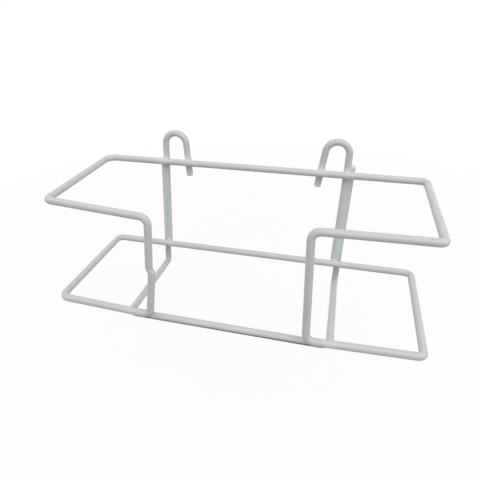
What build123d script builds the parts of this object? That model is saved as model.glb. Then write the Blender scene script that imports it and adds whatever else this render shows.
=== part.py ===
# Wall-hung wire holder for a carton of disposable gloves: four bent and coated steel wires, welded
# together. Millimetres. X runs along the wall to the right, Y into the wall, Z up.
# The origin is on the wall, midway between the two hanging loops, where a screw bears in them.
from build123d import *
from math import cos, radians, tan
import os

# Wire
steel_diameter = 5.0
coating_thickness = 0.1
wire_diameter = steel_diameter + 2 * coating_thickness
wire_radius = wire_diameter / 2
weld_set = 0.5  # how far two welded wires are pressed into each other
end_rounding = 1.0  # the coating rounds the sheared ends

# Basket: one wire that runs round the upper loop, the lower loop and the two uprights
basket_length = 250.0  # centre to centre, along the wall
upper_depth = 88.8
lower_depth = 92.3
loop_gap = 77.2  # upper loop above the lower one
upper_gap = 103.9  # between the uprights at the upper loop
upper_gap_offset = 1.1  # the middle of that gap, from the middle of the basket
lower_gap = 108.3
upper_left_droop = 5.0  # the front rails sink towards the uprights
upper_right_droop = 1.6
lower_droop = 2.8
rear_corner_radius = 4.5
upper_left_radius = 4.3  # front corners
upper_right_radius = 3.0
lower_left_radius = 5.8
lower_right_radius = 3.8
upper_bend_radius = 6.0  # where the uprights leave the loops
lower_bend_radius = 5.6

# Butt weld that closes the basket wire, in the left upright, its two ends out of line
joint_height = 36.0  # middle of the weld above the foot of the upright
joint_length = 4.5
joint_offset = 1.8
joint_bulge = 0.25

# Hanging loops
loop_radius = 8.7  # centreline
leg_spacing = 144.8  # between the long legs, at the height of the screws
left_lean = 2.1  # degrees; the long legs run down to the left
right_lean = 2.85
loop_rise = 20.7  # the screw bears this far above the upper rear rail
leg_reach = 1.2  # the long legs end below the centre of the lower rear rail
tail_reach = 12.4  # the short legs end below the centre of the upper rear rail
tail_splay = 6.1  # degrees; the short legs run down towards the middle
basket_offset = 1.5  # the basket hangs to the right of the middle of the loops

# Brace: a U of wire behind the rails and under the basket
brace_left_reach = 0.2  # its ends stand above the centre of the upper rear rail
brace_right_reach = 5.2
brace_drop = 23.0  # its rear bends lie below the lower rear rail
foot_spacing = 140.6  # between its front bends
foot_offset = -1.0  # the middle of the front bends, from the middle of the basket
brace_bend_radius = 3.6
foot_bend_radius = 6.0

# Welded wires lie one nest apart. Where one is tucked behind another at 45 degrees, it is one
# nest_step over and one back.
nest = wire_diameter - weld_set
nest_step = nest * cos(radians(45))

brace_y = -wire_radius
hook_y = brace_y - nest_step
rear_y = hook_y - nest
upper_front_y = rear_y - upper_depth
lower_front_y = rear_y - lower_depth
upper_z = -loop_rise
lower_z = upper_z - loop_gap
foot_z = lower_z - lower_droop


def leg_x(side, spacing, z):
    # Long legs stand half their spacing out at z = 0 and lean from there
    lean = left_lean if side < 0 else right_lean
    return side * spacing / 2 + z * tan(radians(lean))


def basket_point(x, y, z):
    return Vector(basket_offset + x, y, z)


def round_end(part, point):
    # Rounds the sheared end of a wire that lies at the point
    end_face = part.faces().sort_by_distance(point)[0]
    fillet(end_face.edges(), end_rounding)


# Basket wire
half_length = basket_length / 2
left_top = basket_point(upper_gap_offset - upper_gap / 2, upper_front_y, upper_z - upper_left_droop)
right_top = basket_point(upper_gap_offset + upper_gap / 2, upper_front_y, upper_z - upper_right_droop)
left_foot = basket_point(-lower_gap / 2, lower_front_y, foot_z)
right_foot = basket_point(lower_gap / 2, lower_front_y, foot_z)
right_middle = (right_top + right_foot) / 2

left_run = left_top - left_foot
joint_centre = left_foot + left_run * (joint_height / left_run.length)
upper_end = joint_centre + left_run.normalized() * (joint_length / 2)
lower_end = joint_centre - left_run.normalized() * (joint_length / 2) + Vector(joint_offset, 0, 0)

upper_loop = [
    basket_point(-half_length, upper_front_y, upper_z),
    basket_point(-half_length, rear_y, upper_z),
    basket_point(half_length, rear_y, upper_z),
    basket_point(half_length, upper_front_y, upper_z),
]
lower_loop = [
    basket_point(half_length, lower_front_y, lower_z),
    basket_point(half_length, rear_y, lower_z),
    basket_point(-half_length, rear_y, lower_z),
    basket_point(-half_length, lower_front_y, lower_z),
]
rear_corners = [rear_corner_radius] * 2
upper_radii = [upper_bend_radius, upper_left_radius, *rear_corners, upper_right_radius, upper_bend_radius]
lower_radii = [lower_bend_radius, lower_right_radius, *rear_corners, lower_left_radius, lower_bend_radius]

with BuildPart() as basket_wire:
    with BuildLine() as upper_path:
        FilletPolyline(upper_end, left_top, *upper_loop, right_top, right_middle, radius=upper_radii)
    with BuildSketch(Plane(origin=upper_path.line @ 0, z_dir=upper_path.line % 0)):
        Circle(wire_radius)
    sweep()
    with BuildLine() as lower_path:
        FilletPolyline(right_middle, right_foot, *lower_loop, left_foot, lower_end, radius=lower_radii)
    with BuildSketch(Plane(origin=lower_path.line @ 0, z_dir=lower_path.line % 0)):
        Circle(wire_radius)
    sweep()
    # The butt weld bridges the two ends with a slight bulge
    with BuildSketch(Plane(origin=upper_end, z_dir=upper_path.line % 0)):
        Circle(wire_radius)
    with BuildSketch(Plane(origin=(upper_end + lower_end) / 2, z_dir=left_run)):
        Circle(wire_radius + joint_bulge)
    with BuildSketch(Plane(origin=lower_end, z_dir=lower_path.line % 1)):
        Circle(wire_radius)
    loft()
basket_wire.part.label = "basket_wire"


def hook_wire(side, name):
    # A hanging loop, open towards the middle: the long leg reaches down to the lower rear rail
    leg_end_z = lower_z - leg_reach
    loop_z = wire_radius - loop_radius
    leg_end = (leg_x(side, leg_spacing, leg_end_z), leg_end_z)
    leg_top = (leg_x(side, leg_spacing, loop_z), loop_z)
    with BuildPart() as wire:
        with BuildLine(Plane.XZ.offset(-hook_y)) as path:
            leg = Line(leg_end, leg_top)
            loop = JernArc(leg @ 1, leg % 1, loop_radius, side * (180 - tail_splay))
            tail_fall = (loop @ 1).Z - (upper_z - tail_reach)
            tail = PolarLine(loop @ 1, -tail_fall / (loop % 1).Z, direction=loop % 1)
        with BuildSketch(Plane(origin=leg @ 0, z_dir=leg % 0)):
            Circle(wire_radius)
        sweep()
        round_end(wire, leg @ 0)
        round_end(wire, tail @ 1)
        # Seats against the rear rails
        add(basket_wire.part, mode=Mode.SUBTRACT)
    wire.part.label = name
    return wire


left_hook_wire = hook_wire(-1, "left_hook_wire")
right_hook_wire = hook_wire(1, "right_hook_wire")

# Brace wire: its legs are tucked behind and outside the long legs of the hooks, and its front run
# behind and under the front rails of the lower loop
brace_spacing = leg_spacing + 2 * nest_step
brace_low_z = lower_z - brace_drop
brace_front_y = lower_front_y + nest_step
brace_front_z = foot_z - nest_step
foot_middle = basket_offset + foot_offset


def brace_leg_point(side, z):
    return Vector(leg_x(side, brace_spacing, z), brace_y, z)


brace_points = [
    brace_leg_point(-1, upper_z + brace_left_reach),
    brace_leg_point(-1, brace_low_z),
    Vector(foot_middle - foot_spacing / 2, brace_front_y, brace_front_z),
    Vector(foot_middle + foot_spacing / 2, brace_front_y, brace_front_z),
    brace_leg_point(1, brace_low_z),
    brace_leg_point(1, upper_z + brace_right_reach),
]
brace_radii = [brace_bend_radius, foot_bend_radius, foot_bend_radius, brace_bend_radius]

with BuildPart() as brace_wire:
    with BuildLine() as brace_path:
        FilletPolyline(*brace_points, radius=brace_radii)
    with BuildSketch(Plane(origin=brace_path.line @ 0, z_dir=brace_path.line % 0)):
        Circle(wire_radius)
    sweep()
    round_end(brace_wire, brace_points[0])
    round_end(brace_wire, brace_points[-1])
    # Seats against the hooks and the basket
    add(left_hook_wire.part, mode=Mode.SUBTRACT)
    add(right_hook_wire.part, mode=Mode.SUBTRACT)
    add(basket_wire.part, mode=Mode.SUBTRACT)
brace_wire.part.label = "brace_wire"

os.makedirs("parts", exist_ok=True)
for wire in (basket_wire, left_hook_wire, right_hook_wire, brace_wire):
    export_step(wire.part, f"parts/{wire.part.label}.step")
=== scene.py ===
from math import cos, pi, radians, sin, tan

import bpy
import numpy as np
from mathutils import Matrix, Vector


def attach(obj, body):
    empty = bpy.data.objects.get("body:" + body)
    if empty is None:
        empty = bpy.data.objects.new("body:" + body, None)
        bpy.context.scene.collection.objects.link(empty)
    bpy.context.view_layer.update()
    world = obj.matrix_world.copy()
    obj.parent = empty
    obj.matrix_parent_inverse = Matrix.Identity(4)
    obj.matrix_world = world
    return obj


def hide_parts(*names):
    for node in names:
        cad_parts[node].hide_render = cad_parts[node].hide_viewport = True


# Wall-hung wire holder for a carton of gloves: four bent wires, welded and then coated as one.
# Lengths in the dictionaries are millimetres; meshes are made in metres.

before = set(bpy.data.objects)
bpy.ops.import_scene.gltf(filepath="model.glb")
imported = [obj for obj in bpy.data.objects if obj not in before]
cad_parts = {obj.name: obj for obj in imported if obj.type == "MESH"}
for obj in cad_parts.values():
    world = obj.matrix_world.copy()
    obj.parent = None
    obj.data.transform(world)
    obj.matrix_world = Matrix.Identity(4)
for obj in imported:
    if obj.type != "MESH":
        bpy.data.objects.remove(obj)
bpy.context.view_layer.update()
millimetre = 0.001
tiny = 1e-9  # allows for rounding, and keeps a division off zero
slack = 1e-6  # allows for rounding where an arc meets a line
endless = 1e9  # further off than anything
print("frame loaded:", ", ".join(sorted(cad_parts)))


wire = {
    "diameter": 5.2,
    "weldSet": 0.5,  # how far welded wires are pressed into each other
}

basket = {
    "length": 250.0,  # all centre to centre
    "upperDepth": 88.8,
    "lowerDepth": 92.3,
    "loopGap": 77.2,  # upper loop above the lower one
    "upperGap": 103.9,  # between the uprights at the upper loop
    "upperGapOffset": 1.1,  # the middle of that gap, from the middle of the basket
    "lowerGap": 108.3,
    "upperLeftDroop": 5.0,  # the front rails sink towards the uprights
    "upperRightDroop": 1.6,
    "lowerDroop": 2.8,
    "rearCorner": 4.5,  # radii, to the middle of the wire
    "upperLeftRearCorner": 7.5,
    "upperLeftCorner": 4.3,  # front corners
    "upperRightCorner": 3.0,
    "lowerLeftCorner": 5.8,
    "lowerRightCorner": 3.8,
    "upperBend": 6.0,  # where the uprights leave the loops
    "lowerBend": 5.6,
    "offset": 1.5,  # to the right of the middle of the hanging loops
    "jointHeight": 36.0,  # butt weld, above the foot of the left upright
    "jointOffset": 1.8,  # its two ends are out of line by this much
    "jointLength": 4.5,
    "jointBulge": 0.08,
    "jointBulgeReach": 1.3,
    "jointCrease": 0.11,  # on both sides of the bulge
    "jointCreasePlace": 2.0,  # from the middle of the weld
    "jointCreaseReach": 0.5,
}

hook = {
    "loopRadius": 8.7,
    "legSpacing": 144.8,  # between the long legs, at the height of the screws
    "leftLean": 2.1,  # degrees; the long legs run down to the left
    "rightLean": 2.85,
    "rise": 20.7,  # of the screws above the upper rear rail
    "legReach": 1.2,  # the long legs end below the middle of the lower rear rail
    "tailReach": 12.4,  # the short legs end below the middle of the upper rear rail
    "tailSplay": 6.1,  # degrees; the short legs run down towards the middle
}

brace = {
    "leftReach": 0.2,  # its ends stand above the middle of the upper rear rail
    "rightReach": 5.2,
    "drop": 23.0,  # its rear bends lie below the lower rear rail
    "footSpacing": 140.6,  # between its front bends
    "footOffset": -1.0,  # the middle of the front bends, from the middle of the basket
    "rearBend": 3.6,
    "footBend": 6.0,
}

radius = wire["diameter"] / 2
nest = wire["diameter"] - wire["weldSet"]
nestStep = nest * cos(pi / 4)  # one wire tucked behind another at 45 degrees
braceSpacing = hook["legSpacing"] + 2 * nestStep
braceMiddle = basket["offset"] + brace["footOffset"]
braceY = -radius
hookY = braceY - nestStep
rearY = hookY - nest
upperFrontY = rearY - basket["upperDepth"]
lowerFrontY = rearY - basket["lowerDepth"]
upperZ = -hook["rise"]
lowerZ = upperZ - basket["loopGap"]
footZ = lowerZ - basket["lowerDroop"]
braceLowZ = lowerZ - brace["drop"]


def unit(vector):
    return vector / np.linalg.norm(vector)


def legX(side, spacing, z):
    # the long legs stand half their spacing out at z = 0 and lean from there
    lean = hook["leftLean"] if side < 0 else hook["rightLean"]
    return side * spacing / 2 + z * tan(radians(lean))


def straightRun(start, end):
    # point at length s: start + s * unit(end - start)
    return {"kind": "run", "start": start, "end": end, "length": np.linalg.norm(end - start)}


def bendArc(centre, toStart, heading, bendRadius, turn):
    # point at angle t: centre + bendRadius * (cos t * toStart + sin t * heading)
    return {"kind": "bend", "centre": centre, "u": toStart, "v": heading, "radius": bendRadius,
            "turn": turn, "length": bendRadius * turn}


def roundedRoute(points, radii):
    # straight runs between the points, joined at each by a tangent arc of the given radius
    points = [np.array(point, float) for point in points]
    route = []
    current = points[0]
    for before, corner, after, bendRadius in zip(points, points[1:], points[2:], radii):
        toBefore = unit(before - corner)
        toAfter = unit(after - corner)
        half = np.arccos(np.clip(toBefore @ toAfter, -1, 1)) / 2
        tangentLength = bendRadius / tan(half)
        centre = corner + unit(toBefore + toAfter) * bendRadius / sin(half)
        arcStart = corner + toBefore * tangentLength
        route.append(straightRun(current, arcStart))
        route.append(bendArc(centre, unit(arcStart - centre), -toBefore, bendRadius, pi - 2 * half))
        current = corner + toAfter * tangentLength
    route.append(straightRun(current, points[-1]))
    return route


def isClosed(route):
    return route[-1]["kind"] == "joint"


def lengthOf(route):
    return sum(part["length"] for part in route)


def basketPoint(x, y, z):
    return np.array([basket["offset"] + x, y, z])


def basketRoute():
    # closed: up the left upright, round the upper loop, down, round the lower loop, and up through
    # the butt weld, in which the wire steps aside
    half = basket["length"] / 2
    gapLeft = basket["upperGapOffset"] - basket["upperGap"] / 2
    gapRight = basket["upperGapOffset"] + basket["upperGap"] / 2
    leftTop = basketPoint(gapLeft, upperFrontY, upperZ - basket["upperLeftDroop"])
    rightTop = basketPoint(gapRight, upperFrontY, upperZ - basket["upperRightDroop"])
    leftFoot = basketPoint(-basket["lowerGap"] / 2, lowerFrontY, footZ)
    rightFoot = basketPoint(basket["lowerGap"] / 2, lowerFrontY, footZ)
    upward = unit(leftTop - leftFoot)
    joint = leftFoot + upward * basket["jointHeight"]
    upperEnd = joint + upward * basket["jointLength"] / 2
    lowerEnd = joint - upward * basket["jointLength"] / 2 + np.array([basket["jointOffset"], 0, 0])
    points = [
        upperEnd,
        leftTop,
        basketPoint(-half, upperFrontY, upperZ),
        basketPoint(-half, rearY, upperZ),
        basketPoint(half, rearY, upperZ),
        basketPoint(half, upperFrontY, upperZ),
        rightTop,
        rightFoot,
        basketPoint(half, lowerFrontY, lowerZ),
        basketPoint(half, rearY, lowerZ),
        basketPoint(-half, rearY, lowerZ),
        basketPoint(-half, lowerFrontY, lowerZ),
        leftFoot,
        lowerEnd,
    ]
    bends = ["upperBend", "upperLeftCorner", "upperLeftRearCorner",
             "rearCorner", "upperRightCorner", "upperBend",
             "lowerBend", "lowerRightCorner", "rearCorner",
             "rearCorner", "lowerLeftCorner", "lowerBend"]
    route = roundedRoute(points, [basket[bend] for bend in bends])
    route.append({"kind": "joint", "start": lowerEnd, "end": upperEnd, "heading": upward,
                  "length": basket["jointLength"]})
    return route


def hookRoute(side):
    # long leg up, half turn towards the middle, short tail down
    endZ = lowerZ - hook["legReach"]
    loopZ = radius - hook["loopRadius"]
    legEnd = np.array([legX(side, hook["legSpacing"], endZ), hookY, endZ])
    legTop = np.array([legX(side, hook["legSpacing"], loopZ), hookY, loopZ])
    upward = unit(legTop - legEnd)
    inward = np.array([-side * upward[2], 0, side * upward[0]])
    centre = legTop + inward * hook["loopRadius"]
    turn = radians(180 - hook["tailSplay"])
    loop = bendArc(centre, -inward, upward, hook["loopRadius"], turn)
    loopEnd = centre + hook["loopRadius"] * (cos(turn) * -inward + sin(turn) * upward)
    downward = -sin(turn) * -inward + cos(turn) * upward
    fall = loopEnd[2] - (upperZ - hook["tailReach"])
    tailEnd = loopEnd + downward * (fall / -downward[2])
    return [straightRun(legEnd, legTop), loop, straightRun(loopEnd, tailEnd)]


def braceRoute():
    # down behind one hook leg, forward under the basket, across, back and up behind the other
    frontY = lowerFrontY + nestStep
    frontZ = footZ - nestStep
    leftEnd = upperZ + brace["leftReach"]
    rightEnd = upperZ + brace["rightReach"]
    points = [
        (legX(-1, braceSpacing, leftEnd), braceY, leftEnd),
        (legX(-1, braceSpacing, braceLowZ), braceY, braceLowZ),
        (braceMiddle - brace["footSpacing"] / 2, frontY, frontZ),
        (braceMiddle + brace["footSpacing"] / 2, frontY, frontZ),
        (legX(1, braceSpacing, braceLowZ), braceY, braceLowZ),
        (legX(1, braceSpacing, rightEnd), braceY, rightEnd),
    ]
    bends = ["rearBend", "footBend", "footBend", "rearBend"]
    return roundedRoute(points, [brace[bend] for bend in bends])


routes = {
    "basket": basketRoute(),
    "leftHook": hookRoute(-1),
    "rightHook": hookRoute(1),
    "brace": braceRoute(),
}
for name, route in routes.items():
    print("route", name, "is", round(lengthOf(route)), "mm long")


skin = {
    "around": 44,  # points round the wire
    "step": 1.3,  # between rings on a plain run
    "bendStep": 0.6,
    "crossingStep": 0.42,  # where wires cross, and in the butt weld
    "crossingReach": 4.5,  # a crossing starts where wires are this far apart
    "sampleStep": 0.5,  # between the places at which the spacing of the rings is worked out
    "spread": 6,  # samples by which close rings start before a bend or a crossing
    "alongside": 0.06,  # wires whose gap changes by less than this per mm don't cross
    "turning": 0.02,  # radians per mm, from which a wire counts as bent
    "startNormal": (0.31, -0.9, 0.2),  # any direction that no wire starts in
    "endRounding": 1.1,  # of the sheared ends
    "endRings": 6,  # on the rounded rim
    "faceRings": (0.75, 0.5, 0.25),  # on the flat end, as shares of its radius
    "crossingFillet": 1.6,  # coating that fills the nook where two wires cross
    "legFillet": 2.6,  # and along the pairs of legs, where it lies almost flush
    "legFilletEnds": 6.5,  # the legs' fillet starts this far from the rails
    "beadFillet": 1.5,  # added round the bead of weld at the brace's right end
    "beadSize": 6.0,  # how far that reaches
    "filletBlend": 1.2,  # over which one fillet goes over to the other
    "filletMargin": 0.2,  # points this far past the legs' fillet stay on the bare wire
    "tuck": 1.0,  # how far a skin runs on under its neighbour's
    "tuckDepth": 0.05,  # and how far it lies below it there
    "reach": 3.8,  # furthest that a fillet stands off its own wire
    "marchSteps": 38,  # places along that reach at which the coating's surface is looked for
    "closingSteps": 9,  # halvings of the last step
    "poolSize": 3.6,  # how far the coating gathered round a weld reaches
    "pairWhole": 6.2,  # up to this far from the next leg, a leg wholly takes the pairs' tint and painted light
    "pairGone": 8.2,
    "shadeFacing": (0, -0.94, -0.34),  # the lower front side of the brace's front run, which gets painted shade
    "shadeFrom": 0.88,  # cosines of the angle to that side
    "shadeTo": 0.97,
    "shadePlaces": (-72, -60, 20, 50, 64, 74),  # along x, from the middle of the basket
    "shadeShares": (0, 0.65, 0.8, 1.0, 1.2, 0),
    "shadeDepth": 12.0,  # behind the front run, so that the legs are left out
    "endFade": 7.0,  # the coating thins over this length to a sheared end; the ends' tint and painted light fade in over it
}


def gapTo(route, points):
    # Distance from each point to the wire's surface, and the unit vector away from it. It is the
    # distance to the nearest arc or line of the route, less the radius. The butt weld counts as a
    # line, and the wire's two free ends are flat with a rounded rim.
    rounding = skin["endRounding"]
    best = np.full(len(points), endless)
    away = np.zeros_like(points)
    for part in route:
        if part["kind"] == "bend":
            local = points - part["centre"]
            x = local @ part["u"]
            y = local @ part["v"]
            inPlane = np.maximum(np.hypot(x, y), tiny)
            spoke = (x[:, None] * part["u"] + y[:, None] * part["v"]) / inPlane[:, None]
            outward = local - part["radius"] * spoke
            angle = np.arctan2(y, x)
            within = (angle > -slack) & (angle < part["turn"] + slack)
            gap = np.where(within, np.linalg.norm(outward, axis=1) - radius, endless)
        else:
            freeStart = part is route[0] and not isClosed(route)
            freeEnd = part is route[-1] and not isClosed(route)
            along = unit(part["end"] - part["start"])
            place = (points - part["start"]) @ along
            foot = np.clip(place, -endless if freeStart else 0, endless if freeEnd else part["length"])
            aside = points - part["start"] - foot[:, None] * along
            side = np.maximum(np.linalg.norm(aside, axis=1), tiny)
            pastStart = -place if freeStart else -endless
            pastEnd = place - part["length"] if freeEnd else -endless
            rim = side - radius + rounding
            cap = np.maximum(pastStart, pastEnd) + rounding
            rounded = np.hypot(np.maximum(rim, 0), np.maximum(cap, 0))
            gap = np.minimum(np.maximum(rim, cap), 0) + rounded - rounding
            onCap = np.maximum(cap, 0) * np.where(place < 0, -1, 1)
            onSide = np.where(cap > rim, np.maximum(rim, 0), np.maximum(rim, slack))
            outward = (onSide / side)[:, None] * aside + onCap[:, None] * along
        closer = gap < best
        best = np.where(closer, gap, best)
        away = np.where(closer[:, None], outward, away)
    return best, away / np.maximum(np.linalg.norm(away, axis=1), tiny)[:, None]


def turned(vectors, axis, angles):
    # each vector v turned about the unit axis: v cos t + (axis x v) sin t + axis (v . axis) (1 - cos t)
    cosine = np.cos(angles)[:, None]
    sine = np.sin(angles)[:, None]
    lengthwise = axis * (vectors @ axis)[:, None]
    return vectors * cosine + np.cross(axis, vectors) * sine + lengthwise * (1 - cosine)


def routeAt(route, stations):
    # centre, tangent and a normal carried along without twist, at each length along the route
    centre = np.zeros((len(stations), 3))
    tangent = np.zeros_like(centre)
    normal = np.zeros_like(centre)
    carried = unit(np.cross(route[0]["end"] - route[0]["start"], skin["startNormal"]))
    start = 0.0
    for part in route:
        inside = (stations >= start - tiny) & (stations <= start + part["length"] + tiny)
        local = stations[inside] - start
        if part["kind"] == "bend":
            angles = local / part["radius"]
            axis = np.cross(part["u"], part["v"])
            spoke = turned(np.tile(part["u"], (len(angles), 1)), axis, angles)
            centre[inside] = part["centre"] + part["radius"] * spoke
            tangent[inside] = np.cross(axis, spoke)
            normal[inside] = turned(np.tile(carried, (len(angles), 1)), axis, angles)
            carried = turned(carried[None], axis, np.array([part["turn"]]))[0]
        elif part["kind"] == "joint":
            # straight on, and aside by the smooth step share ** 2 * (3 - 2 * share)
            share = (local / part["length"])[:, None]
            heading = part["heading"]
            ahead = (part["end"] - part["start"]) @ heading * heading
            aside = part["end"] - part["start"] - ahead
            centre[inside] = part["start"] + share * ahead + share ** 2 * (3 - 2 * share) * aside
            tangent[inside] = heading
            normal[inside] = unit(carried - (carried @ heading) * heading)
        else:
            heading = unit(part["end"] - part["start"])
            centre[inside] = part["start"] + local[:, None] * heading
            tangent[inside] = heading
            normal[inside] = carried
        start += part["length"]
    return centre, tangent, normal


def fromJoint(route, stations):
    # signed length along the closed wire from the middle of its butt weld
    total = lengthOf(route)
    return (stations - total + route[-1]["length"] / 2 + total / 2) % total - total / 2


def ringStations(route, others):
    # rings are close together in bends and where another wire crosses, and wider apart elsewhere
    inset = 0 if isClosed(route) else skin["endRounding"]
    total = lengthOf(route)
    samples = np.linspace(inset, total - inset, int(total / skin["sampleStep"]) + 1)
    centre, tangent, normal = routeAt(route, samples)
    gap = np.min([gapTo(other, centre)[0] for other in others], axis=0)
    alongside = np.abs(np.gradient(gap, samples)) < skin["alongside"]
    special = (gap < radius + skin["crossingReach"]) & ~alongside
    if isClosed(route):
        special |= np.abs(fromJoint(route, samples)) < basket["jointLength"]
    turning = np.linalg.norm(np.gradient(tangent, samples, axis=0), axis=1) > skin["turning"]
    spacing = np.where(turning, skin["bendStep"], skin["step"])
    spacing = np.where(special, skin["crossingStep"], spacing)
    shifts = range(-skin["spread"], skin["spread"] + 1)
    spacing = np.min([np.roll(spacing, shift) for shift in shifts], axis=0)
    ringCount = np.concatenate([[0], np.cumsum((samples[1] - samples[0]) / spacing[:-1])])
    stations = np.interp(np.linspace(0, ringCount[-1], int(ringCount[-1]) + 1), ringCount, samples)
    return stations[:-1] if isClosed(route) else stations


def betweenRails(points):
    # 1 between the rails and 0 elsewhere, by height alone, so that every skin agrees
    middle = (upperZ + lowerZ) / 2
    half = (upperZ - lowerZ) / 2 - skin["legFilletEnds"]
    return 0.5 - 0.5 * np.tanh((np.abs(points[:, 2] - middle) - half) / skin["filletBlend"])


def filletAt(points):
    # the fillet size at a place: the crossings', going over to the legs', with a bead's on top
    beadAt = routes["brace"][-1]["end"]
    bead = np.exp(-(np.linalg.norm(points - beadAt, axis=1) / skin["beadSize"]) ** 2)
    legs = (skin["legFillet"] - skin["crossingFillet"]) * betweenRails(points)
    return skin["crossingFillet"] + legs + skin["beadFillet"] * bead


def wireGrid(route, others):
    # A round profile carried along the route, with flat ends and rounded rims, or closed on itself.
    # A point lies at centre + inward * spoke + distance * direction, with
    # spoke = cos a * normal + sin a * across and direction = cos t * spoke + sin t * tangent.
    # The tilt t is 0 on the wire's side and a quarter turn on its ends, and the bare wire's surface
    # is where distance is base.
    stations = ringStations(route, others)
    centre, tangent, normal = routeAt(route, stations)
    ringOf = np.arange(len(stations))
    tilt = np.zeros(len(stations))
    inward = np.zeros(len(stations))
    base = np.full(len(stations), radius)
    twist = np.zeros(len(stations))
    if isClosed(route):
        aside = fromJoint(route, stations)
        fromCrease = np.abs(aside) - basket["jointCreasePlace"]
        base = base + basket["jointBulge"] * np.exp(-(aside / basket["jointBulgeReach"]) ** 2)
        base = base - basket["jointCrease"] * np.exp(-(fromCrease / basket["jointCreaseReach"]) ** 2)
        # the carried normal comes back turned, so the rings are twisted evenly to meet it
        total = lengthOf(route)
        ends, headings, normals = routeAt(route, np.array([0, total]))
        mismatch = np.arctan2(np.cross(normals[1], normals[0]) @ headings[0], normals[1] @ normals[0])
        twist = mismatch * stations / total
    else:
        rounding = skin["endRounding"]
        rim = np.linspace(0, pi / 2, skin["endRings"] + 1)[1:]
        flat = (radius - rounding) * np.array(skin["faceRings"])
        endTilt = np.concatenate([rim, np.full(len(flat), pi / 2)])
        endInward = np.concatenate([np.full(len(rim), radius - rounding), flat])
        many = len(endTilt)
        ringOf = np.concatenate([np.zeros(many, int), ringOf, np.full(many, len(stations) - 1)])
        tilt = np.concatenate([-endTilt[::-1], tilt, endTilt])
        inward = np.concatenate([endInward[::-1], inward, endInward])
        base = np.concatenate([np.full(many, rounding), base, np.full(many, rounding)])
    across = np.cross(tangent, normal)
    angles = np.arange(skin["around"]) * 2 * pi / skin["around"]
    around = (angles[None, :] + twist[ringOf][:, None])[:, :, None]
    spoke = np.cos(around) * normal[ringOf][:, None] + np.sin(around) * across[ringOf][:, None]
    tilt = tilt[:, None, None]
    direction = (np.cos(tilt) * spoke + np.sin(tilt) * tangent[ringOf][:, None]).reshape(-1, 3)
    origin = (centre[ringOf][:, None] + inward[:, None, None] * spoke).reshape(-1, 3)
    base = np.repeat(base, skin["around"])
    along = np.repeat(stations[ringOf], skin["around"])
    if not isClosed(route):
        # one more point in the middle of each end
        origin = np.concatenate([origin, centre[[0, -1]]])
        direction = np.concatenate([direction, [-tangent[0], tangent[-1]]])
        base = np.concatenate([base, np.full(2, skin["endRounding"])])
        along = np.concatenate([along, stations[[0, -1]]])
    return origin, direction, base, along, len(ringOf)


def coatDistance(origin, direction, base, others):
    # Each point moves out from the wire until it reaches the coating, the surface on which k is the
    # root of the summed squares of (k - distance to each wire's surface), no term below zero, for
    # the fillet size k. Two wires' skins share that surface: each stops just past the middle, under
    # the other's. The place is found in even steps and closed in on by halving.
    def beyond(length, which):
        # positive once the point has left the coating, or has gone far enough under the neighbour
        points = origin[which] + direction[which] * length[:, None]
        k = filletAt(points)
        own = length - base[which]
        gaps = [gapTo(other, points)[0] for other in others]
        total = np.maximum(k - own, 0) ** 2 + sum(np.maximum(k - gap, 0) ** 2 for gap in gaps)
        depth = own - np.min(gaps, axis=0)
        outside = k - np.sqrt(total) + skin["tuckDepth"] * np.clip(depth / skin["tuck"], 0, 1)
        return np.maximum(outside, depth - skin["tuck"])

    bare = origin + direction * base[:, None]
    closest = np.min([gapTo(other, bare)[0] for other in others], axis=0)
    near = np.flatnonzero(closest < skin["legFillet"] + skin["filletMargin"])
    low = base[near].copy()
    high = low + skin["reach"]
    inside = np.ones(len(near), bool)
    for march in np.linspace(0, skin["reach"], skin["marchSteps"])[1:]:
        state = np.zeros(len(near))
        state[inside] = beyond(base[near[inside]] + march, near[inside])
        left = inside & (state > 0)
        inside &= ~left
        high[left] = base[near[left]] + march
        low[inside] = base[near[inside]] + march
    for step in range(skin["closingSteps"]):
        middle = (low + high) / 2
        outside = beyond(middle, near) > 0
        high = np.where(outside, middle, high)
        low = np.where(outside, low, middle)
    plain = beyond(base[near], near) > 0
    distance = base.copy()
    distance[near] = np.where(plain, base[near], high)
    return distance


def coatFacing(points, direction, ownGap, others):
    # the surface faces along its wires' directions, each by its share (k - distance) in the fillet
    k = filletAt(points)
    facing = np.maximum(k - ownGap, 0)[:, None] * direction
    for other in others:
        gap, away = gapTo(other, points)
        facing += np.maximum(k - gap, 0)[:, None] * away
    return facing / np.maximum(np.linalg.norm(facing, axis=1), tiny)[:, None]


def gridFacing(points, direction, rings):
    # across both lines of the closed grid, (next - last) round the wire x (next - last) along it
    grid = points.reshape(rings, -1, 3)
    roundWire = np.roll(grid, -1, 1) - np.roll(grid, 1, 1)
    alongWire = np.roll(grid, -1, 0) - np.roll(grid, 1, 0)
    slope = np.cross(roundWire, alongWire).reshape(-1, 3)
    slope *= np.sign(np.sum(slope * direction, axis=1))[:, None]
    return slope / np.linalg.norm(slope, axis=1)[:, None]


def coatedSkin(route, others):
    # point = origin + direction * distance, in rings of skin["around"]
    origin, direction, base, along, rings = wireGrid(route, others)
    distance = coatDistance(origin, direction, base, others)
    points = origin + direction * distance[:, None]
    facing = coatFacing(points, direction, distance - base, others)
    if isClosed(route):
        # in the butt weld the rings swell and step aside, so there the grid's own slope counts
        inJoint = np.abs(fromJoint(route, along)) < basket["jointLength"]
        facing = np.where(inJoint[:, None], gridFacing(points, direction, rings), facing)
        ends = np.zeros(len(points))
    else:
        fromEnd = np.minimum(along, lengthOf(route) - along)
        ends = np.clip(1 - fromEnd / skin["endFade"], 0, 1)
    return points, facing, ends, rings


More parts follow.
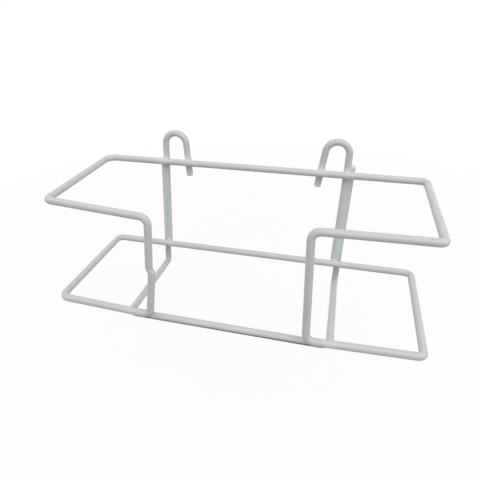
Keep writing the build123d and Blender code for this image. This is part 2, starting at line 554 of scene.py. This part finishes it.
def skinMesh(name, points, facing, marks, rings, closed):
    # quads between the rings; the last ring meets the first, or each end gets a fan
    count = skin["around"]
    ring = (np.arange(rings if closed else rings - 1) * count)[:, None]
    after = (ring + count) % (rings * count)
    step = np.arange(count)
    following = (step + 1) % count
    quads = np.stack([ring + step, ring + following, after + following, after + step], -1)
    faces = quads.reshape(-1, 4).tolist()
    if not closed:
        pole = np.full(count, rings * count)
        lastRing = (rings - 1) * count
        faces += np.stack([pole, following, step], -1).tolist()
        faces += np.stack([pole + 1, lastRing + step, lastRing + following], -1).tolist()
    mesh = bpy.data.meshes.new(name)
    mesh.from_pydata((points * millimetre).tolist(), [], faces)
    mesh.shade_smooth()
    for label, values in marks.items():
        mark = mesh.attributes.new(label, "FLOAT", "POINT")
        mark.data.foreach_set("value", values.astype(np.float32))
    mesh.normals_split_custom_set_from_vertices(facing.tolist())
    piece = bpy.data.objects.new(name, mesh)
    bpy.context.scene.collection.objects.link(piece)
    return piece


def weldPoints():
    # where one wire crosses another
    places = []
    for side in (-1, 1):
        tail = routes["leftHook" if side < 0 else "rightHook"][-1]
        down = unit(tail["end"] - tail["start"])
        tailAtRail = tail["start"] + down * ((upperZ - tail["start"][2]) / down[2])
        places.append((tailAtRail[0], (hookY + rearY) / 2, upperZ))
        for z in (upperZ, lowerZ):
            places.append((legX(side, hook["legSpacing"], z), (hookY + rearY) / 2, z))
        places.append((legX(side, braceSpacing, upperZ), braceY - nestStep / 2, upperZ))
        # the brace comes forward under the lower rail
        footX = braceMiddle + side * brace["footSpacing"] / 2
        places.append((footX, lowerFrontY + nestStep / 2, footZ - nestStep / 2))
    return np.array(places)


welds = weldPoints()


def poolAt(points):
    # 1 on a weld and less around it: exp(-((distance - radius) / size) squared)
    fromWeld = np.min(np.linalg.norm(points[:, None] - welds[None], axis=2), axis=1)
    return np.exp(-((fromWeld - radius).clip(0) / skin["poolSize"]) ** 2)


def legPairAt(points, name):
    # 1 where a hook's leg and the brace's run side by side between the rails, 0 elsewhere
    if name == "basket":
        return np.zeros(len(points))
    partners = [other for label, other in routes.items() if label not in (name, "basket")]
    gap = np.min([gapTo(other, points)[0] for other in partners], axis=0)
    nearness = (skin["pairGone"] - gap) / (skin["pairGone"] - skin["pairWhole"])
    return betweenRails(points) * np.clip(nearness, 0, 1)


def shadeMarkAt(points, facing, name):
    # how much painted shade the lower front side of the brace's front run gets: 0 to 1 between two
    # cosines of the angle between facing and that side, times a share that changes along x
    if name != "brace":
        return np.zeros(len(points))
    cosine = facing @ np.array(skin["shadeFacing"])
    side = np.clip((cosine - skin["shadeFrom"]) / (skin["shadeTo"] - skin["shadeFrom"]), 0, 1)
    share = np.interp(points[:, 0] - basket["offset"], skin["shadePlaces"], skin["shadeShares"])
    return side * share * (points[:, 1] < lowerFrontY + nestStep + skin["shadeDepth"])


skinNames = {
    "basket": "basketWireCoat",
    "leftHook": "leftHookCoat",
    "rightHook": "rightHookCoat",
    "brace": "braceWireCoat",
}
nodeNames = {
    "basket": "basket_wire",
    "leftHook": "left_hook_wire",
    "rightHook": "right_hook_wire",
    "brace": "brace_wire",
}
pieces = {}
for name, route in routes.items():
    others = [other for label, other in routes.items() if label != name]
    points, facing, ends, rings = coatedSkin(route, others)
    marks = {
        # besides tints, these marks place painted light, painted highlight and painted shade
        "legPair": legPairAt(points, name),
        "poolAndHighlight": poolAt(points),
        "ends": ends,
        "shadeMark": shadeMarkAt(points, facing, name),
    }
    piece = skinMesh(skinNames[name], points, facing, marks, rings, isClosed(route))
    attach(piece, "root")
    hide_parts(nodeNames[name])
    pieces[name] = piece
    print("skin", piece.name, "has", len(piece.data.polygons), "faces")


class Signal:
    # a value in a material: sums written with it add Math nodes
    def __init__(self, finish, socket):
        self.finish = finish
        self.socket = socket

    def maths(self, operation, first, second):
        return self.finish.add("ShaderNodeMath", {"operation": operation}, {0: first, 1: second})

    def __add__(self, other):
        return self.maths("ADD", self, other)

    def __sub__(self, other):
        return self.maths("SUBTRACT", self, other)

    def __rsub__(self, other):
        return self.maths("SUBTRACT", other, self)

    def __mul__(self, other):
        return self.maths("MULTIPLY", self, other)

    __radd__ = __add__
    __rmul__ = __mul__


class Finish:
    # a material's or world's nodes, built by add(): a node's type, its settings, then its sockets
    def __init__(self, owner):
        self.owner = owner
        owner.use_nodes = True
        self.tree = owner.node_tree
        self.tree.nodes.clear()

    def add(self, kind, settings=None, sockets=None, output=0):
        node = self.tree.nodes.new(kind)
        for label, value in (settings or {}).items():
            setattr(node, label, value)
        for label, value in (sockets or {}).items():
            if isinstance(value, Signal):
                self.tree.links.new(value.socket, node.inputs[label])
            else:
                node.inputs[label].default_value = value
        return Signal(self, node.outputs[output]) if node.outputs else None

    def blend(self, factor, first, second):
        # first * (1 - factor) + second * factor; a Mix node's colours are its inputs 6 and 7, and
        # its output 2
        sockets = {0: factor, 6: first, 7: second}
        return self.add("ShaderNodeMix", {"data_type": "RGBA"}, sockets, output=2)


coating = {
    "colour": (0.624, 0.623, 0.622, 1),
    "warm": (0.639, 0.631, 0.612, 1),
    "cool": (0.592, 0.612, 0.612, 1),
    "legs": (0.690, 0.735, 0.725, 1),  # flooded between the pairs of legs: a cooler tint, and painted light that brightens the pairs
    "poolTintAndHighlight": (0.690, 0.704, 0.715, 1),  # gathered round the welds: a bluish tint of the pooled coating, and painted highlight
    "thinEndTintAndLight": (0.850, 0.825, 0.780, 1),  # over the sheared ends: a beige tint of the thin coat there, and painted light that lifts the shaded tail stubs
    "steel": (0.060, 0.060, 0.052, 1),  # a dark colour, painted shade on the lower front side of the brace's front run
    "mottle": {"Scale": 24.0, "Detail": 2.0, "Roughness": 0.5},  # patches a few centimetres long
    "cloud": {"Scale": 190.0, "Detail": 2.0, "Roughness": 0.5},  # and a few millimetres
    "peel": {"Scale": 900.0, "Detail": 1.5, "Roughness": 0.5},  # orange peel, about 1 mm
    "lump": {"Scale": 430.0, "Detail": 1.0, "Roughness": 0.5},  # lumps of the weld, about 2 mm
    "warmUpTo": 0.35,  # mottle, below which a patch is warm
    "coolFrom": 0.65,
    "evenShare": 0.5,  # of the plain colour over the patches
    "legPairLightShare": 0.85,
    "thinEndLightShare": 0.8,
    "poolHighlightShare": 0.55,
    "poolHighlightCloud": 0.9,  # added where the cloud is full, as mottled painted highlight
    "steelShare": 0.75,
    "steelCloud": 0.4,
    "roughness": 0.36,
    "cloudMiddle": 0.5,  # at which the cloud leaves the roughness as it is
    "roughCloud": 0.14,
    "roughPool": 0.06,  # smoother round the welds
    "peelDepth": 0.000035,  # metres
    "peelStrength": 0.6,
    "lumpDepth": 0.0009,
    "gloss": {"IOR": 1.5, "Coat Weight": 0.12, "Coat Roughness": 0.18},
}


def coatedFinish():
    finish = Finish(bpy.data.materials.new("whiteCoating"))
    place = finish.add("ShaderNodeTexCoord", output="Object")

    def noise(name):
        return finish.add("ShaderNodeTexNoise", {"noise_dimensions": "3D"},
                          {"Vector": place, **coating[name]})

    def mark(name):
        return finish.add("ShaderNodeAttribute", {"attribute_name": name}, output="Fac")

    mottle, cloud, peel, lump = [noise(name) for name in ("mottle", "cloud", "peel", "lump")]
    legPair, poolAndHighlight, ends, shadeMark = [mark(name) for name in ("legPair", "poolAndHighlight", "ends", "shadeMark")]
    patch = finish.add("ShaderNodeMapRange", {}, {
        "Value": mottle, "From Min": coating["warmUpTo"], "From Max": coating["coolFrom"]})
    toned = finish.blend(patch, coating["warm"], coating["cool"])
    based = finish.blend(coating["evenShare"], toned, coating["colour"])
    # a cooler tint and painted light on the pairs of legs
    legPairsTintedAndLit = finish.blend(legPair * coating["legPairLightShare"], based, coating["legs"])
    # a beige tint and painted light over the sheared ends
    endsTintedAndLit = finish.blend(ends * coating["thinEndLightShare"], legPairsTintedAndLit, coating["thinEndTintAndLight"])
    # a bluish pooled tint and painted highlight round the welds, which also lighten the rails' shaded
    # undersides there
    poolHighlightAmount = poolAndHighlight * (coating["poolHighlightShare"] + coating["poolHighlightCloud"] * cloud)
    poolTintAndHighlight = finish.blend(poolHighlightAmount, endsTintedAndLit, coating["poolTintAndHighlight"])
    # painted shade: the lower front side of the brace's front run is darkened towards a dark colour
    shadeAmount = shadeMark * (coating["steelShare"] + coating["steelCloud"] * cloud)
    shadePainted = finish.blend(shadeAmount, poolTintAndHighlight, coating["steel"])
    lumpy = finish.add("ShaderNodeBump", {}, {
        "Strength": 1.0, "Distance": coating["lumpDepth"], "Height": lump * poolAndHighlight}, output="Normal")
    peeled = finish.add("ShaderNodeBump", {}, {
        "Strength": coating["peelStrength"], "Distance": coating["peelDepth"], "Height": peel,
        "Normal": lumpy}, output="Normal")
    clouded = coating["roughness"] + (cloud - coating["cloudMiddle"]) * coating["roughCloud"]
    shader = finish.add("ShaderNodeBsdfPrincipled", {}, {
        "Base Color": shadePainted, "Roughness": clouded - poolAndHighlight * coating["roughPool"], "Normal": peeled,
        **coating["gloss"]})
    finish.add("ShaderNodeOutputMaterial", {}, {"Surface": shader})
    return finish.owner


coatMaterial = coatedFinish()
for piece in pieces.values():
    piece.data.materials.append(coatMaterial)
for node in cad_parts.values():
    node.data.materials.clear()
    node.data.materials.append(coatMaterial)
print("finish made")


stageSet = {
    "floorDrop": 60.0,  # below the lowest bend
    "floorRadius": 6.0,  # metres
    "floorPoints": 64,
    "floorTone": 0.27,  # what the floor throws back at the wires
    "shadowShare": 0.15,  # of the floor's look, the part that takes light and shadow
    "shadowReach": 0.7,  # metres; further out the floor is plain white
    "shadowCore": 0.3,  # of that reach, within which the share is whole
    "skyStrength": 0.52,
    "lampAim": (0, -0.05, -0.06),
}

lamps = {  # metres and watts
    "frontLamp": {"place": (0.05, -0.95, 1.0), "size": 1.0, "power": 4.2},
    "leftLamp": {"place": (-0.95, -0.35, 0.9), "size": 1.0, "power": 3.2},
    "rightLamp": {"place": (1.0, -0.35, 0.9), "size": 1.0, "power": 5.2},
    "sideLamp": {"place": (1.35, -0.3, 0.1), "size": 1.0, "power": 1.6},
}


def seenDirectly(finish):
    # 1 where the camera, a reflection or glass looks at the background, 0 where it lights the wires
    camera = finish.add("ShaderNodeLightPath", output="Is Camera Ray")
    glossy = finish.add("ShaderNodeLightPath", output="Is Glossy Ray")
    through = finish.add("ShaderNodeLightPath", output="Is Transmission Ray")
    return finish.add("ShaderNodeMath", {"operation": "ADD", "use_clamp": True},
                      {0: camera + glossy, 1: through})


def makeFloor():
    # a round sheet that is white to the camera near and far, with the wires' soft shadow in its middle
    count = stageSet["floorPoints"]
    angles = np.linspace(0, 2 * pi, count, endpoint=False)
    rim = np.stack([np.cos(angles), np.sin(angles), np.zeros(count)], -1) * stageSet["floorRadius"]
    rim[:, 2] = (braceLowZ - radius - stageSet["floorDrop"]) * millimetre
    mesh = bpy.data.meshes.new("studioFloor")
    mesh.from_pydata(rim.tolist(), [], [list(range(count))])
    floor = bpy.data.objects.new("studioFloor", mesh)
    bpy.context.scene.collection.objects.link(floor)
    finish = Finish(bpy.data.materials.new("studioWhite"))
    place = finish.add("ShaderNodeTexCoord", output="Object")
    away = finish.add("ShaderNodeVectorMath", {"operation": "LENGTH"}, {0: place}, output="Value")
    reach = stageSet["shadowReach"]
    nearby = finish.add("ShaderNodeMapRange", {"interpolation_type": "SMOOTHSTEP"}, {
        "Value": away, "From Min": reach * stageSet["shadowCore"], "From Max": reach,
        "To Min": stageSet["shadowShare"], "To Max": 0.0})
    tone = stageSet["floorTone"]
    bounced = finish.add("ShaderNodeBsdfDiffuse", {}, {"Color": (tone, tone, tone, 1)})
    shadowed = finish.add("ShaderNodeBsdfDiffuse", {}, {"Color": (1, 1, 1, 1)})
    white = finish.add("ShaderNodeEmission", {}, {"Color": (1, 1, 1, 1), "Strength": 1.0})
    seen = finish.add("ShaderNodeMixShader", {}, {0: nearby, 1: white, 2: shadowed})
    mixed = finish.add("ShaderNodeMixShader", {}, {0: seenDirectly(finish), 1: bounced, 2: seen})
    finish.add("ShaderNodeOutputMaterial", {}, {"Surface": mixed})
    mesh.materials.append(finish.owner)


def makeSky():
    world = bpy.data.worlds.new("studioSky")
    bpy.context.scene.world = world
    finish = Finish(world)
    soft = finish.add("ShaderNodeBackground", {}, {
        "Color": (1, 1, 1, 1), "Strength": stageSet["skyStrength"]})
    white = finish.add("ShaderNodeBackground", {}, {"Color": (1, 1, 1, 1), "Strength": 1.0})
    mixed = finish.add("ShaderNodeMixShader", {}, {0: seenDirectly(finish), 1: soft, 2: white})
    finish.add("ShaderNodeOutputWorld", {}, {"Surface": mixed})


def makeLamp(name, lamp):
    data = bpy.data.lights.new(name, "AREA")
    data.shape = "DISK"
    data.size = lamp["size"]
    data.energy = lamp["power"]
    light = bpy.data.objects.new(name, data)
    light.location = lamp["place"]
    towards = Vector(stageSet["lampAim"]) - light.location
    light.rotation_euler = towards.to_track_quat("-Z", "Y").to_euler()
    bpy.context.scene.collection.objects.link(light)


cameraSet = {
    "place": (0.07054, -0.33907, 0.10719),  # metres
    "azimuth": 0.28121,  # radians, turned to the left
    "tilt": 0.42674,  # looking down
    "roll": -0.02293,
    "lens": 34.466,
    "sensor": 36,
    "shift": (0.03594, -0.08861),
    "nearest": 0.01,  # metres; anything closer is cut away
}


def makeCamera():
    azimuth, tilt, roll = cameraSet["azimuth"], cameraSet["tilt"], cameraSet["roll"]
    forward = Vector((-sin(azimuth) * cos(tilt), cos(azimuth) * cos(tilt), -sin(tilt)))
    level = forward.cross(Vector((0, 0, 1))).normalized()
    up = level.cross(forward)
    right = cos(roll) * level + sin(roll) * up
    top = -sin(roll) * level + cos(roll) * up
    data = bpy.data.cameras.new("camera")
    data.sensor_width = cameraSet["sensor"]
    data.lens = cameraSet["lens"]
    data.shift_x, data.shift_y = cameraSet["shift"]
    data.clip_start = cameraSet["nearest"]
    camera = bpy.data.objects.new("camera", data)
    turn = Matrix((right, top, -forward)).transposed().to_4x4()
    camera.matrix_world = Matrix.Translation(cameraSet["place"]) @ turn
    bpy.context.scene.collection.objects.link(camera)
    bpy.context.scene.camera = camera


makeFloor()
makeSky()
for name, lamp in lamps.items():
    makeLamp(name, lamp)
makeCamera()
bpy.context.scene.view_settings.view_transform = "Standard"
print("floor, light and camera set")
